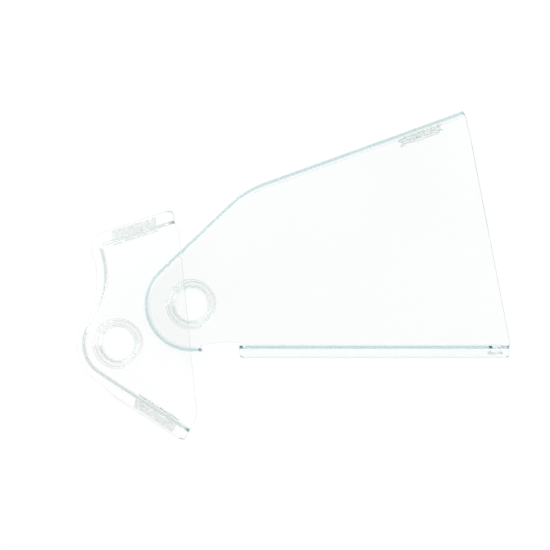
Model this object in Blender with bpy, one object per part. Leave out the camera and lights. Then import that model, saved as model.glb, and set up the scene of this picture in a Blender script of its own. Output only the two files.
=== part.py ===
"""Clear two-leaf sneeze guard: a small and a large moulded leaf, each turning on its own rail bush.

Both leaves lie flat, with their plates level and their walls standing on the floor. Every leaf is drawn
about its own hub axis, and its plate outline runs anticlockwise. A wall is a row of columns, and each
column is the same bent section: flat plate, bend, then the wall down to its free edge.
"""

import math

import bmesh
import bpy
from mathutils import Matrix, Vector

# Moulded sheet
SHEET = 0.0032  # thickness of plates and walls
INNER_BEND = 0.0020  # inside radius where a wall leaves its plate
GAP = 0.0003  # between pieces that rest on each other
PLATE_HEIGHT = 0.0300  # top of the large leaf's plate above the floor

# Rail bush, the same in both leaves
BORE_RADIUS = 0.0130  # takes a 25.4 mm rail
STOP_LIP = 0.0016  # how far the end stop stands into the bore
STOP_THICKNESS = 0.0015
BUSH_WALL = 0.0020
BUSH_RIM = 0.0052  # how far the flange reaches past the sleeve
BUSH_FLANGE = 0.0012
LEAD_IN = 0.0007
RUNNING_GAP = 0.0003  # radial, between sleeve and hub
COLLAR_WALL = 0.0030
COLLAR_LENGTH = 0.0060  # hub collar below the plate
CLIP_THICKNESS = 0.0016
CLIP_GRIP = 0.0008  # depth of the groove that holds the clip
CLIP_REACH = 0.0028  # how far the clip stands out past the sleeve
CLIP_OPENING = 70.0  # degrees of the clip's mouth
SLEEVE_END = 0.0015  # sleeve below the groove

# Small leaf
SMALL_KNUCKLE = 0.0280  # plate radius about the hub
SMALL_TOP = 0.0790  # hub axis to the top edge
SMALL_TOP_SLOPE = 18.0
SMALL_SIDE = 0.0570  # hub axis to the open edge
SMALL_SIDE_LEAN = 5.8
SMALL_BOTTOM_SLOPE = 32.5
WAIST_RADIUS = 0.0640
WAIST_HEIGHT = 0.0536  # centre of the waist above the hub
SMALL_CORNER = 0.0035
SMALL_TOP_TRIM = 0.0030  # wall end, back from where the edges would meet
SMALL_BOTTOM_TRIM = 0.0095
SMALL_TOP_SPREAD = 0.0144  # how far a wall's free edge stands outside the plate
SMALL_SIDE_SPREAD = 0.0118
SMALL_ELBOW_SPREAD = 0.0100  # where the knuckle runs into the bottom wall
SMALL_BOTTOM_SPREAD = 0.0132
SMALL_SPREAD_RUN = 0.0220  # length of bottom wall over which it widens
SMALL_WALL_CORNER = 0.0095
SMALL_EASE = 0.0240  # radius where the open edge runs into a wall

# Large leaf
LARGE_KNUCKLE = 0.0376
LARGE_FOOT = 0.0345  # hub axis to the foot edge
LARGE_TOP = 0.0726  # hub axis to the top edge
LARGE_TOP_SLOPE = 19.9
LARGE_SHOULDER_SLOPE = 43.7
LARGE_SHOULDER_RADIUS = 0.0800
LARGE_SIDE = 0.2452  # hub axis to the open edge
LARGE_SIDE_LEAN = 10.3
LARGE_TOP_TRIM = 0.0018
LARGE_BOTTOM_TRIM = 0.0010
LARGE_EASE_TOP = 0.3000
LARGE_EASE_BOTTOM = 0.0240
NOTCH_START = 0.0080  # relief between the knuckle wall and the foot wall
NOTCH_END = 0.0380
NOTCH_RISE = 0.0010
LARGE_TOP_SPREAD = 0.0010
LARGE_KNUCKLE_SPREAD = 0.0010
LARGE_FOOT_SPREAD = 0.0088
LARGE_END_SLANT = 0.0050  # how far a wall's open end runs on towards its free edge
LARGE_WALL_CORNER = 0.0060
HANG_HOLE_RADIUS = 0.0058
HANG_HOLE_INSET = 0.0092  # from the foot wall's end

# Where the two hubs stand to each other, on parallel rails
HUB_OFFSET = Vector((0.0578, 0.0313, 0.0))

# Grip pads
PAD_LONG = 0.0380
PAD_SHORT = 0.0345
PAD_CORNER = 0.0015
PAD_TOP_MARGIN = 0.0030  # below the plate
PAD_FOOT_MARGIN = 0.0018  # above the floor
ADHESIVE = 0.0006
STRIP = 0.0018
SMALL_TOP_PAD_INSET = 0.0152  # pad's near end to the wall's open end
SMALL_BOTTOM_PAD_INSET = 0.0120
LARGE_PAD_INSET = 0.0200

# Fineness
BEND_STEPS = 4
CORNER_STEPS = 5
ROUND_STEPS = 48
ARC_STEP = math.radians(7)

SLEEVE_RADIUS = BORE_RADIUS + BUSH_WALL
FLANGE_RADIUS = SLEEVE_RADIUS + BUSH_RIM
HUB_RADIUS = SLEEVE_RADIUS + RUNNING_GAP
SMALL_HEIGHT = PLATE_HEIGHT + GAP + BUSH_FLANGE + GAP + SHEET


def clear_scene():
    for obj in list(bpy.data.objects):
        bpy.data.objects.remove(obj, do_unlink=True)


def plastic(name, colour, roughness, transmission=0.0, ior=1.49):
    material = bpy.data.materials.new(name)
    material.use_nodes = True
    shader = material.node_tree.nodes["Principled BSDF"]
    shader.inputs["Base Color"].default_value = (*colour, 1.0)
    shader.inputs["Roughness"].default_value = roughness
    shader.inputs["Metallic"].default_value = 0.0
    shader.inputs["Transmission Weight"].default_value = transmission
    shader.inputs["IOR"].default_value = ior
    return material


def add_object(name, mesh_builder, material, parent=None):
    """Closes the bmesh into an object whose faces all point out."""
    bmesh.ops.recalc_face_normals(mesh_builder, faces=mesh_builder.faces)
    mesh = bpy.data.meshes.new(name)
    mesh_builder.to_mesh(mesh)
    mesh_builder.free()
    if material:
        mesh.materials.append(material)
    mesh.shade_smooth()
    mesh.set_sharp_from_angle(angle=math.radians(30))
    obj = bpy.data.objects.new(name, mesh)
    bpy.context.scene.collection.objects.link(obj)
    obj.parent = parent
    return obj


def add_empty(name, location, parent=None):
    empty = bpy.data.objects.new(name, None)
    empty.location = location
    empty.parent = parent
    bpy.context.scene.collection.objects.link(empty)
    return empty


def add_boolean(obj, cutter, operation):
    cutter.hide_render = True
    cutter.display_type = "WIRE"
    modifier = obj.modifiers.new(cutter.name, "BOOLEAN")
    modifier.operation = operation
    modifier.solver = "EXACT"
    modifier.object = cutter


# Plate outlines --------------------------------------------------------------------------------------


def heading(degrees):
    return Vector((math.cos(math.radians(degrees)), math.sin(math.radians(degrees))))


def crossing(normal_a, distance_a, normal_b, distance_b):
    """Where two lines meet, each given by its normal and its distance from the hub axis."""
    determinant = normal_a.x * normal_b.y - normal_a.y * normal_b.x
    return Vector(
        (
            (distance_a * normal_b.y - distance_b * normal_a.y) / determinant,
            (normal_a.x * distance_b - normal_b.x * distance_a) / determinant,
        )
    )


def corner_lift(distance, radius):
    """How far a wall's free edge rises at this distance from its rounded end."""
    if distance >= radius:
        return 0.0
    return radius - math.sqrt(radius**2 - (radius - distance) ** 2)


def straight_columns(
    start, end, outward, spread, start_corner=0.0, end_corner=0.0, widening=None, slants=(0.0, 0.0)
):
    """Columns (point, outward, spread, lift, slant) of a straight wall, closer at a rounded end.

    widening is (spread at the start, length over which it grows to the full spread). slants moves the
    free edge along the wall at the rounded start and at the rounded end.
    """
    length = (end - start).length
    turn = [i * math.pi / 2 / CORNER_STEPS for i in range(CORNER_STEPS + 1)]
    stops = {0.0, length}
    if start_corner:
        stops |= {start_corner * (1 - math.cos(angle)) for angle in turn}
    if end_corner:
        stops |= {length - end_corner * (1 - math.cos(angle)) for angle in turn}
    if widening:
        stops |= {widening[1] * i / 4 for i in range(1, 5)}
    columns = []
    for stop in sorted(stops):
        lift = max(corner_lift(stop, start_corner), corner_lift(length - stop, end_corner))
        out = spread
        if widening and stop < widening[1]:
            share = stop / widening[1]
            out = widening[0] + (spread - widening[0]) * share * share * (3 - 2 * share)
        slant = slants[0] * (stop <= start_corner) + slants[1] * (length - stop <= end_corner)
        run = (end - start) * (slant / length)
        columns.append((start.lerp(end, stop / length), outward, out, lift, run))
    return columns


def arc_columns(centre, radius, start_angle, end_angle, start_spread, end_spread, bulge=1):
    """Columns round an arc, ends left out. bulge is -1 where the plate lies outside the arc."""
    steps = max(3, math.ceil(abs(end_angle - start_angle) / ARC_STEP))
    columns = []
    for i in range(1, steps):
        share = i / steps
        ray = heading(math.degrees(start_angle + (end_angle - start_angle) * share))
        spread = start_spread + (end_spread - start_spread) * share
        columns.append((centre + ray * radius, ray * bulge, spread, 0.0, Vector((0.0, 0.0))))
    return columns


def angle_of(vector):
    return math.atan2(vector.y, vector.x)


def eased_edge(tip, edge_normal, edge_distance, radius, way):
    """Arc from a wall's end to the open edge, which it meets in line. way is +1 or -1 along the edge."""
    edge_run = Vector((-edge_normal.y, edge_normal.x)) * way
    inset = edge_distance - tip.dot(edge_normal)
    reach = math.sqrt(max(2 * radius * inset - inset**2, 0.0))
    centre = edge_run * (tip.dot(edge_run) + reach) + edge_normal * (edge_distance - radius)
    start = angle_of(tip - centre)
    swing = math.remainder(angle_of(edge_normal) - start, math.tau)
    steps = max(2, math.ceil(abs(swing) / ARC_STEP))
    rays = [heading(math.degrees(start + swing * i / steps)) for i in range(1, steps + 1)]
    return [centre + ray * radius for ray in rays]


def small_leaf_outline():
    """Wall columns and open edge of the small leaf, about its hub axis."""
    top_normal = heading(90 + SMALL_TOP_SLOPE)
    side_normal = heading(SMALL_SIDE_LEAN)
    bottom_normal = heading(270 - SMALL_BOTTOM_SLOPE)
    top_run = heading(SMALL_TOP_SLOPE)
    bottom_run = heading(-SMALL_BOTTOM_SLOPE)

    waist_span = WAIST_RADIUS + SMALL_KNUCKLE
    waist = Vector((-math.sqrt(waist_span**2 - WAIST_HEIGHT**2), WAIST_HEIGHT))
    # The corner arc touches the top edge from inside and the waist from outside.
    corner_level = SMALL_TOP - SMALL_CORNER - waist.dot(top_normal)
    corner_reach = math.sqrt((WAIST_RADIUS + SMALL_CORNER) ** 2 - corner_level**2)
    corner = waist + top_normal * corner_level + top_run * corner_reach

    top_end = crossing(top_normal, SMALL_TOP, side_normal, SMALL_SIDE) - top_run * SMALL_TOP_TRIM
    bottom_end = crossing(bottom_normal, SMALL_KNUCKLE, side_normal, SMALL_SIDE)
    bottom_end -= bottom_run * SMALL_BOTTOM_TRIM

    wall = straight_columns(
        top_end, corner + top_normal * SMALL_CORNER, top_normal, SMALL_TOP_SPREAD,
        start_corner=SMALL_WALL_CORNER,
    )
    wall += arc_columns(
        corner, SMALL_CORNER, angle_of(top_normal), angle_of(waist - corner) % math.tau,
        SMALL_TOP_SPREAD, SMALL_SIDE_SPREAD,
    )
    wall += arc_columns(
        waist, WAIST_RADIUS, angle_of(corner - waist), angle_of(-waist),
        SMALL_SIDE_SPREAD, SMALL_SIDE_SPREAD, bulge=-1,
    )
    wall += arc_columns(
        Vector((0.0, 0.0)), SMALL_KNUCKLE, angle_of(waist), angle_of(bottom_normal) % math.tau,
        SMALL_SIDE_SPREAD, SMALL_ELBOW_SPREAD,
    )
    wall += straight_columns(
        bottom_normal * SMALL_KNUCKLE, bottom_end, bottom_normal, SMALL_BOTTOM_SPREAD,
        end_corner=SMALL_WALL_CORNER, widening=(SMALL_ELBOW_SPREAD, SMALL_SPREAD_RUN),
    )
    setback = {
        "top": bend_setback(SMALL_HEIGHT, SMALL_TOP_SPREAD),
        "bottom": bend_setback(SMALL_HEIGHT, SMALL_BOTTOM_SPREAD),
    }
    open_edge = eased_edge(
        bottom_end - bottom_normal * setback["bottom"], side_normal, SMALL_SIDE, SMALL_EASE, 1
    )
    open_edge += reversed(
        eased_edge(top_end - top_normal * setback["top"], side_normal, SMALL_SIDE, SMALL_EASE, -1)
    )
    return [wall], [open_edge]


def large_leaf_corners():
    """The large leaf's edge normals and the ends of its walls, about its hub axis."""
    top_normal = heading(90 + LARGE_TOP_SLOPE)
    side_normal = heading(LARGE_SIDE_LEAN)
    foot_normal = Vector((0.0, -1.0))
    top_end = crossing(top_normal, LARGE_TOP, side_normal, LARGE_SIDE)
    top_end -= heading(LARGE_TOP_SLOPE) * LARGE_TOP_TRIM
    foot_end = crossing(foot_normal, LARGE_FOOT, side_normal, LARGE_SIDE)
    foot_end.x -= LARGE_BOTTOM_TRIM
    return top_normal, side_normal, foot_normal, top_end, foot_end


def large_leaf_outline():
    """Wall columns and open edges of the large leaf, about its hub axis."""
    top_normal, side_normal, foot_normal, top_end, foot_end = large_leaf_corners()
    shoulder_normal = heading(90 + LARGE_SHOULDER_SLOPE)
    shoulder = crossing(
        top_normal, LARGE_TOP - LARGE_SHOULDER_RADIUS,
        shoulder_normal, LARGE_KNUCKLE - LARGE_SHOULDER_RADIUS,
    )
    notch_start = Vector((NOTCH_START, -LARGE_KNUCKLE))
    notch_end = Vector((NOTCH_END, -LARGE_FOOT))

    upper_wall = straight_columns(
        top_end, shoulder + top_normal * LARGE_SHOULDER_RADIUS, top_normal, LARGE_TOP_SPREAD,
        start_corner=LARGE_WALL_CORNER, slants=(-LARGE_END_SLANT, 0.0),
    )
    upper_wall += arc_columns(
        shoulder, LARGE_SHOULDER_RADIUS, angle_of(top_normal), angle_of(shoulder_normal),
        LARGE_TOP_SPREAD, LARGE_TOP_SPREAD,
    )
    upper_wall += straight_columns(
        shoulder + shoulder_normal * LARGE_SHOULDER_RADIUS, shoulder_normal * LARGE_KNUCKLE,
        shoulder_normal, LARGE_TOP_SPREAD,
    )
    upper_wall += arc_columns(
        Vector((0.0, 0.0)), LARGE_KNUCKLE, angle_of(shoulder_normal), math.radians(270),
        LARGE_TOP_SPREAD, LARGE_KNUCKLE_SPREAD,
    )
    upper_wall += straight_columns(
        foot_normal * LARGE_KNUCKLE, notch_start, foot_normal, LARGE_KNUCKLE_SPREAD,
        end_corner=LARGE_WALL_CORNER,
    )
    foot_wall = straight_columns(
        notch_end, foot_end, foot_normal, LARGE_FOOT_SPREAD,
        start_corner=LARGE_WALL_CORNER, end_corner=LARGE_WALL_CORNER, slants=(0.0, LARGE_END_SLANT),
    )
    # The relief runs between the two walls' flat starts, bowed a little into the plate.
    notch_start.y += bend_setback(PLATE_HEIGHT, LARGE_KNUCKLE_SPREAD)
    notch_end.y += bend_setback(PLATE_HEIGHT, LARGE_FOOT_SPREAD)
    notch = []
    for i in range(1, 6):
        share = i / 6
        middle = notch_start.lerp(notch_end, share)
        middle.y = notch_start.y + (notch_end.y - notch_start.y) * share * share * (3 - 2 * share)
        middle.y += NOTCH_RISE * math.sin(math.pi * share)
        notch.append(middle)
    foot_tip = foot_end - foot_normal * bend_setback(PLATE_HEIGHT, LARGE_FOOT_SPREAD)
    top_tip = top_end - top_normal * bend_setback(PLATE_HEIGHT, LARGE_TOP_SPREAD)
    open_edge = eased_edge(foot_tip, side_normal, LARGE_SIDE, LARGE_EASE_BOTTOM, 1)
    open_edge += reversed(eased_edge(top_tip, side_normal, LARGE_SIDE, LARGE_EASE_TOP, -1))
    return [upper_wall, foot_wall], [notch, open_edge]


# Bent sheet ------------------------------------------------------------------------------------------


def bend_setback(height, spread):
    """How far inside its outline a plate stops being flat."""
    bend = math.pi / 2 - math.atan2(spread, height)
    return (INNER_BEND + SHEET) * math.tan(bend / 2)


def wall_section(height, spread, lift):
    """Outer and inner points (out from the outline, height) from the flat plate to the free edge."""
    lean = math.atan2(spread, height)
    centre = Vector((-bend_setback(height, spread), height - INNER_BEND - SHEET))
    outer, inner = [], []
    for i in range(BEND_STEPS + 1):
        ray = heading(90 + math.degrees(lean - math.pi / 2) * i / BEND_STEPS)
        outer.append(centre + ray * (INNER_BEND + SHEET))
        inner.append(centre + ray * INNER_BEND)
    reach = (height - lift) * math.tan(lean)
    outer.append(Vector((reach, lift)))
    inner.append(Vector((reach - SHEET / math.cos(lean), lift)))
    return outer, inner


def leaf_shell(name, outline, height, material, parent):
    """One moulded leaf: walls and open edges take turns round the plate."""
    walls, edges = outline
    bm = bmesh.new()
    top_loop, under_loop = [], []
    for columns, edge in zip(walls, edges):
        rows = []
        for point, outward, spread, lift, slant in columns:
            sides = []
            for side in wall_section(height, spread, lift):
                fall = [slant * max(side[-2].y - level, 0.0) / side[-2].y for _, level in side]
                sides.append(
                    [
                        bm.verts.new((*(point + outward * out + shift), level))
                        for (out, level), shift in zip(side, fall)
                    ]
                )
            rows.append(sides)
        for (outer_a, inner_a), (outer_b, inner_b) in zip(rows, rows[1:]):
            for side_a, side_b in ((outer_a, outer_b), (inner_a, inner_b)):
                for i in range(len(side_a) - 1):
                    bm.faces.new((side_a[i], side_a[i + 1], side_b[i + 1], side_b[i]))
            bm.faces.new((outer_a[-1], inner_a[-1], inner_b[-1], outer_b[-1]))
        for outer, inner in (rows[0], rows[-1]):
            bm.faces.new([*outer, *reversed(inner)])
        top_loop += [outer[0] for outer, _ in rows]
        under_loop += [inner[0] for _, inner in rows]
        chain_top = [rows[-1][0][0]] + [bm.verts.new((*point, height)) for point in edge]
        chain_under = [rows[-1][1][0]] + [bm.verts.new((*point, height - SHEET)) for point in edge]
        top_loop += chain_top[1:]
        under_loop += chain_under[1:]
        edges_done = list(zip(chain_top, chain_under))
        for (top_a, under_a), (top_b, under_b) in zip(edges_done, edges_done[1:]):
            bm.faces.new((top_a, under_a, under_b, top_b))
    # Each open edge's last stretch runs to the next wall's first column.
    for columns_start in wall_starts(walls, edges):
        last, first = columns_start - 1, columns_start % len(top_loop)
        bm.faces.new((top_loop[last], under_loop[last], under_loop[first], top_loop[first]))
    bm.faces.new(top_loop)
    bm.faces.new(list(reversed(under_loop)))
    return add_object(name, bm, material, parent)


def wall_starts(walls, edges):
    """Places in the plate loop where a wall's first column follows an open edge."""
    starts, count = [], 0
    for columns, edge in zip(walls, edges):
        count += len(columns) + len(edge)
        starts.append(count)
    return starts


def cylinder(name, radius, low, high, parent, material=None):
    bm = bmesh.new()
    bmesh.ops.create_cone(
        bm, cap_ends=True, segments=ROUND_STEPS, radius1=radius, radius2=radius, depth=high - low,
        matrix=Matrix.Translation((0.0, 0.0, (low + high) / 2)),
    )
    return add_object(name, bm, material, parent)


def add_hub(leaf, height, parent):
    """A collar under the plate, and the hole that runs on the bush."""
    collar_end = height - SHEET - COLLAR_LENGTH
    collar = cylinder(
        leaf.name + "_collar", HUB_RADIUS + COLLAR_WALL, collar_end, height - SHEET / 2, parent
    )
    hole = cylinder(leaf.name + "_hole", HUB_RADIUS, collar_end - SHEET, height + SHEET, parent)
    add_boolean(leaf, collar, "UNION")
    add_boolean(leaf, hole, "DIFFERENCE")


# Bush and clip ---------------------------------------------------------------------------------------


def turned(name, profile, material, parent, sweep=math.tau):
    """A closed profile of (radius, height) points turned about the hub axis."""
    full = sweep >= math.tau
    steps = math.ceil(ROUND_STEPS * sweep / math.tau)
    bm = bmesh.new()
    rings = []
    for i in range(steps if full else steps + 1):
        angle = sweep * i / steps
        rings.append(
            [bm.verts.new((r * math.cos(angle), r * math.sin(angle), z)) for r, z in profile]
        )
    pairs = list(zip(rings, rings[1:] + rings[:1])) if full else list(zip(rings, rings[1:]))
    for ring_a, ring_b in pairs:
        for i, corner in enumerate(ring_a):
            bm.faces.new((corner, ring_a[i - 1], ring_b[i - 1], ring_b[i]))
    if not full:
        bm.faces.new(rings[0])
        bm.faces.new(rings[-1])
    return add_object(name, bm, material, parent)


def bush_levels(height):
    """Heights of the flange's top and seat, the groove's ends and the sleeve's end."""
    seat = height + GAP
    groove_top = height - SHEET - COLLAR_LENGTH
    groove_end = groove_top - CLIP_THICKNESS - 2 * GAP
    return seat + BUSH_FLANGE, seat, groove_top, groove_end, groove_end - SLEEVE_END


def add_bush(name, height, material, parent):
    top, seat, groove_top, groove_end, end = bush_levels(height)
    groove = SLEEVE_RADIUS - CLIP_GRIP
    stop = BORE_RADIUS - STOP_LIP
    profile = [
        (BORE_RADIUS + LEAD_IN, top),
        (FLANGE_RADIUS - LEAD_IN, top),
        (FLANGE_RADIUS, top - LEAD_IN),
        (FLANGE_RADIUS, seat),
        (SLEEVE_RADIUS, seat),
        (SLEEVE_RADIUS, groove_top),
        (groove, groove_top),
        (groove, groove_end),
        (SLEEVE_RADIUS, groove_end),
        (SLEEVE_RADIUS - LEAD_IN, end),
        (stop, end),
        (stop, end + STOP_THICKNESS),
        (BORE_RADIUS, end + STOP_THICKNESS),
        (BORE_RADIUS, top - LEAD_IN),
    ]
    return turned(name, profile, material, parent)


def add_clip(name, height, material, parent):
    _, _, groove_top, groove_end, _ = bush_levels(height)
    inner = SLEEVE_RADIUS - CLIP_GRIP + GAP
    outer = SLEEVE_RADIUS + CLIP_REACH
    low, high = groove_end + GAP, groove_top - GAP
    profile = [(inner, low), (outer, low), (outer, high), (inner, high)]
    clip = turned(name, profile, material, parent, math.radians(360 - CLIP_OPENING))
    clip.rotation_euler.z = math.radians(CLIP_OPENING / 2 - 90)
    return clip


# Grip pads -------------------------------------------------------------------------------------------


def wall_face(point, outward, spread, height):
    """Frame on a wall's inner face: X along the wall, Y up it, Z into the leaf, with half the pad's width."""
    lean = math.atan2(spread, height)
    low, high = PAD_FOOT_MARGIN, height - SHEET - PAD_TOP_MARGIN
    middle = (low + high) / 2
    reach = (height - middle) * math.tan(lean) - SHEET / math.cos(lean)
    across = Vector((*outward, 0.0))
    inward = -(across * math.cos(lean) + Vector((0.0, 0.0, math.sin(lean))))
    up_wall = Vector((0.0, 0.0, math.cos(lean))) - across * math.sin(lean)
    along = up_wall.cross(inward)
    place = Vector((*point, 0.0)) + across * reach + Vector((0.0, 0.0, middle))
    axes = Matrix((along, up_wall, inward)).transposed().to_4x4()
    return Matrix.Translation(place) @ axes, (high - low) / (2 * math.cos(lean))


def pad_layer(name, frame, half_length, half_width, low, high, material, parent):
    """A die-cut layer with rounded corners, from low to high above the wall face."""
    bm = bmesh.new()
    corners = []
    for sign_x, sign_y, start in ((1, 1, 0), (-1, 1, 90), (-1, -1, 180), (1, -1, 270)):
        centre = Vector((sign_x * (half_length - PAD_CORNER), sign_y * (half_width - PAD_CORNER)))
        for i in range(4):
            corners.append(centre + heading(start + 30 * i) * PAD_CORNER)
    rings = [[bm.verts.new((*corner, level)) for corner in corners] for level in (low, high)]
    for i in range(len(corners)):
        bm.faces.new((rings[0][i - 1], rings[0][i], rings[1][i], rings[1][i - 1]))
    bm.faces.new(list(reversed(rings[0])))
    bm.faces.new(rings[1])
    layer = add_object(name, bm, material, parent)
    layer.matrix_local = frame
    return layer


def add_pad(name, layers, frame, half_width, length, parent):
    """Stacks layers (name, thickness, material) on a wall's inner face, each a gap from the last."""
    level = GAP
    for layer, thickness, material in layers:
        pad_layer(
            f"{name}_{layer}", frame, length / 2, half_width, level, level + thickness, material, parent
        )
        level += thickness + GAP


# The two leaves --------------------------------------------------------------------------------------


def build_small_leaf(materials, root):
    pivot = add_empty("small_leaf_pivot", (0.0, 0.0, 0.0), root)
    walls, edges = small_leaf_outline()
    leaf = leaf_shell("small_leaf", (walls, edges), SMALL_HEIGHT, materials["clear"], pivot)
    add_hub(leaf, SMALL_HEIGHT, pivot)
    add_bush("small_bush", SMALL_HEIGHT, materials["bush"], pivot)
    add_clip("small_bush_clip", SMALL_HEIGHT, materials["clip"], pivot)

    layers = [
        ("adhesive", ADHESIVE, materials["adhesive"]),
        ("strip", STRIP, materials["strip"]),
    ]
    top_end, top_normal, spread, _, _ = walls[0][0]
    middle = top_end - heading(SMALL_TOP_SLOPE) * (SMALL_TOP_PAD_INSET + PAD_LONG / 2)
    frame, half_width = wall_face(middle, top_normal, spread, SMALL_HEIGHT)
    add_pad("small_top", layers, frame, half_width, PAD_LONG, pivot)

    bottom_end, bottom_normal, spread, _, _ = walls[0][-1]
    middle = bottom_end - heading(-SMALL_BOTTOM_SLOPE) * (SMALL_BOTTOM_PAD_INSET + PAD_LONG / 2)
    frame, half_width = wall_face(middle, bottom_normal, spread, SMALL_HEIGHT)
    add_pad("small_bottom", layers, frame, half_width, PAD_LONG, pivot)


def build_large_leaf(materials, root):
    pivot = add_empty("large_leaf_pivot", HUB_OFFSET, root)
    leaf = leaf_shell("large_leaf", large_leaf_outline(), PLATE_HEIGHT, materials["clear"], pivot)
    add_hub(leaf, PLATE_HEIGHT, pivot)
    add_bush("large_bush", PLATE_HEIGHT, materials["bush"], pivot)
    add_clip("large_bush_clip", PLATE_HEIGHT, materials["clip"], pivot)

    top_normal, _, foot_normal, top_end, foot_end = large_leaf_corners()
    middle = top_end - heading(LARGE_TOP_SLOPE) * (LARGE_PAD_INSET + PAD_SHORT / 2)
    frame, half_width = wall_face(middle, top_normal, LARGE_TOP_SPREAD, PLATE_HEIGHT)
    layers = [
        ("adhesive", ADHESIVE, materials["adhesive"]),
        ("strip", STRIP, materials["strip"]),
        ("mating_strip", STRIP, materials["strip"]),
        ("mating_adhesive", ADHESIVE, materials["adhesive"]),
    ]
    add_pad("large_top", layers, frame, half_width, PAD_SHORT, pivot)

    hang_point = foot_end - Vector((HANG_HOLE_INSET, 0.0))
    frame, _ = wall_face(hang_point, foot_normal, LARGE_FOOT_SPREAD, PLATE_HEIGHT)
    hole = cylinder("large_leaf_hang_hole", HANG_HOLE_RADIUS, -3 * SHEET, 2 * SHEET, pivot)
    hole.matrix_local = frame
    add_boolean(leaf, hole, "DIFFERENCE")


def centre_on_floor(root):
    """Moves the assembly so that the middle of its footprint is at the origin."""
    bpy.context.view_layer.update()
    graph = bpy.context.evaluated_depsgraph_get()
    points = []
    for obj in bpy.context.scene.objects:
        if obj.type == "MESH" and not obj.hide_render:
            evaluated = obj.evaluated_get(graph)
            points += [obj.matrix_world @ vertex.co for vertex in evaluated.to_mesh().vertices]
            evaluated.to_mesh_clear()
    lows = [min(point[axis] for point in points) for axis in range(3)]
    highs = [max(point[axis] for point in points) for axis in range(3)]
    root.location = (-(lows[0] + highs[0]) / 2, -(lows[1] + highs[1]) / 2, -lows[2])
    bpy.context.view_layer.update()


def main():
    clear_scene()
    materials = {
        "clear": plastic("clear_sheet", (0.96, 0.99, 0.985), 0.03, 1.0),
        "bush": plastic("clear_bush", (0.93, 0.98, 0.97), 0.05, 1.0),
        "clip": plastic("clear_clip", (0.93, 0.97, 0.96), 0.10, 1.0),
        "adhesive": plastic("pad_adhesive", (0.90, 0.92, 0.88), 0.35, 0.6),
        "strip": plastic("pad_strip", (0.86, 0.89, 0.87), 0.45, 0.4),
    }
    root = add_empty("sneeze_guard", (0.0, 0.0, 0.0))
    build_small_leaf(materials, root)
    build_large_leaf(materials, root)
    centre_on_floor(root)


main()
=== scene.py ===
import math

import bmesh
import bpy
from mathutils import Matrix, Vector
from mathutils.geometry import delaunay_2d_cdt


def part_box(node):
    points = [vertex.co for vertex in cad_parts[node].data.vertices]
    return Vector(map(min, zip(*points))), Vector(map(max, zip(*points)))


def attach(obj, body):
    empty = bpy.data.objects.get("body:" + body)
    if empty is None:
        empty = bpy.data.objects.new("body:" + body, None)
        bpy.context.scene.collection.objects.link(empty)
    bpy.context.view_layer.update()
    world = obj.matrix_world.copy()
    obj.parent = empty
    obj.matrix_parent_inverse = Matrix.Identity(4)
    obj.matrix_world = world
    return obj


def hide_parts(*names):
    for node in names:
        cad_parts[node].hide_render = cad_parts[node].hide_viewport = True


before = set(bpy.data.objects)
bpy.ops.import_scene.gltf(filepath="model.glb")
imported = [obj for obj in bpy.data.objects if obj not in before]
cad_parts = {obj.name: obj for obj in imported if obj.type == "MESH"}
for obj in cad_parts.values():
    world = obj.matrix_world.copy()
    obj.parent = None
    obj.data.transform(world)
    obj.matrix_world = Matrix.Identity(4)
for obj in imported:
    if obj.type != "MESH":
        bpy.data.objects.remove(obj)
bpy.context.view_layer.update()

scene = bpy.context.scene


def middleOf(node):
    low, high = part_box(node)
    return (low + high) / 2


def hubOf(bush):
    middle = middleOf(bush)     # a turned bush has its axis through the middle of its box
    return Vector((middle.x, middle.y, 0.0))


smallHub = hubOf("small_bush")
largeHub = hubOf("large_bush")
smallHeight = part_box("small_leaf")[1].z
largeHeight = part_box("large_leaf")[1].z
print("frame loaded, hubs at", tuple(smallHub), tuple(largeHub))


studio = {
    "aim": (-0.0138, -0.00102, 0.030),   # a point level with the large plate
    "distance": 1.0,
    "tilt": 3.0,                # degrees off straight down, camera nearer the viewer
    "lens": 81.8,
    "skyTop": 0.93,
    "skyEdge": 0.12,
    "skyRise": 0.55,            # how high up the sky is fully bright
    "floorColour": (0.86, 0.86, 0.86, 1.0),
    "floorRadius": 12.0,
    "floorSegments": 96,
    "floorDrop": 0.0004,        # how far the floor lies under the pieces
    "floorRoughness": 0.9,
    "floorGloss": 0.1,
    "keyPower": 10.9,
    "keySize": 1.0,
    "keyPlace": (-0.95, 0.75, 1.25),
    "fillPower": 5.1,
    "fillSize": 0.9,
    "fillPlace": (1.1, -0.35, 1.0),
    "bounces": 48,
}


def addCamera():
    tilt = math.radians(studio["tilt"])
    back = Vector((0.0, -math.sin(tilt), math.cos(tilt)))
    data = bpy.data.cameras.new("camera")
    data.lens = studio["lens"]
    camera = bpy.data.objects.new("camera", data)
    camera.location = Vector(studio["aim"]) + back * studio["distance"]
    camera.rotation_euler = (tilt, 0.0, 0.0)
    scene.collection.objects.link(camera)
    scene.camera = camera


def addSoftbox(name, place, size, power):
    data = bpy.data.lights.new(name, "AREA")
    data.shape = "SQUARE"
    data.size = size
    data.energy = power
    light = bpy.data.objects.new(name, data)
    light.location = place
    light.rotation_euler = (Vector(place) - Vector((0.0, 0.0, 0.02))).to_track_quat("Z", "Y").to_euler()
    scene.collection.objects.link(light)


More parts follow.
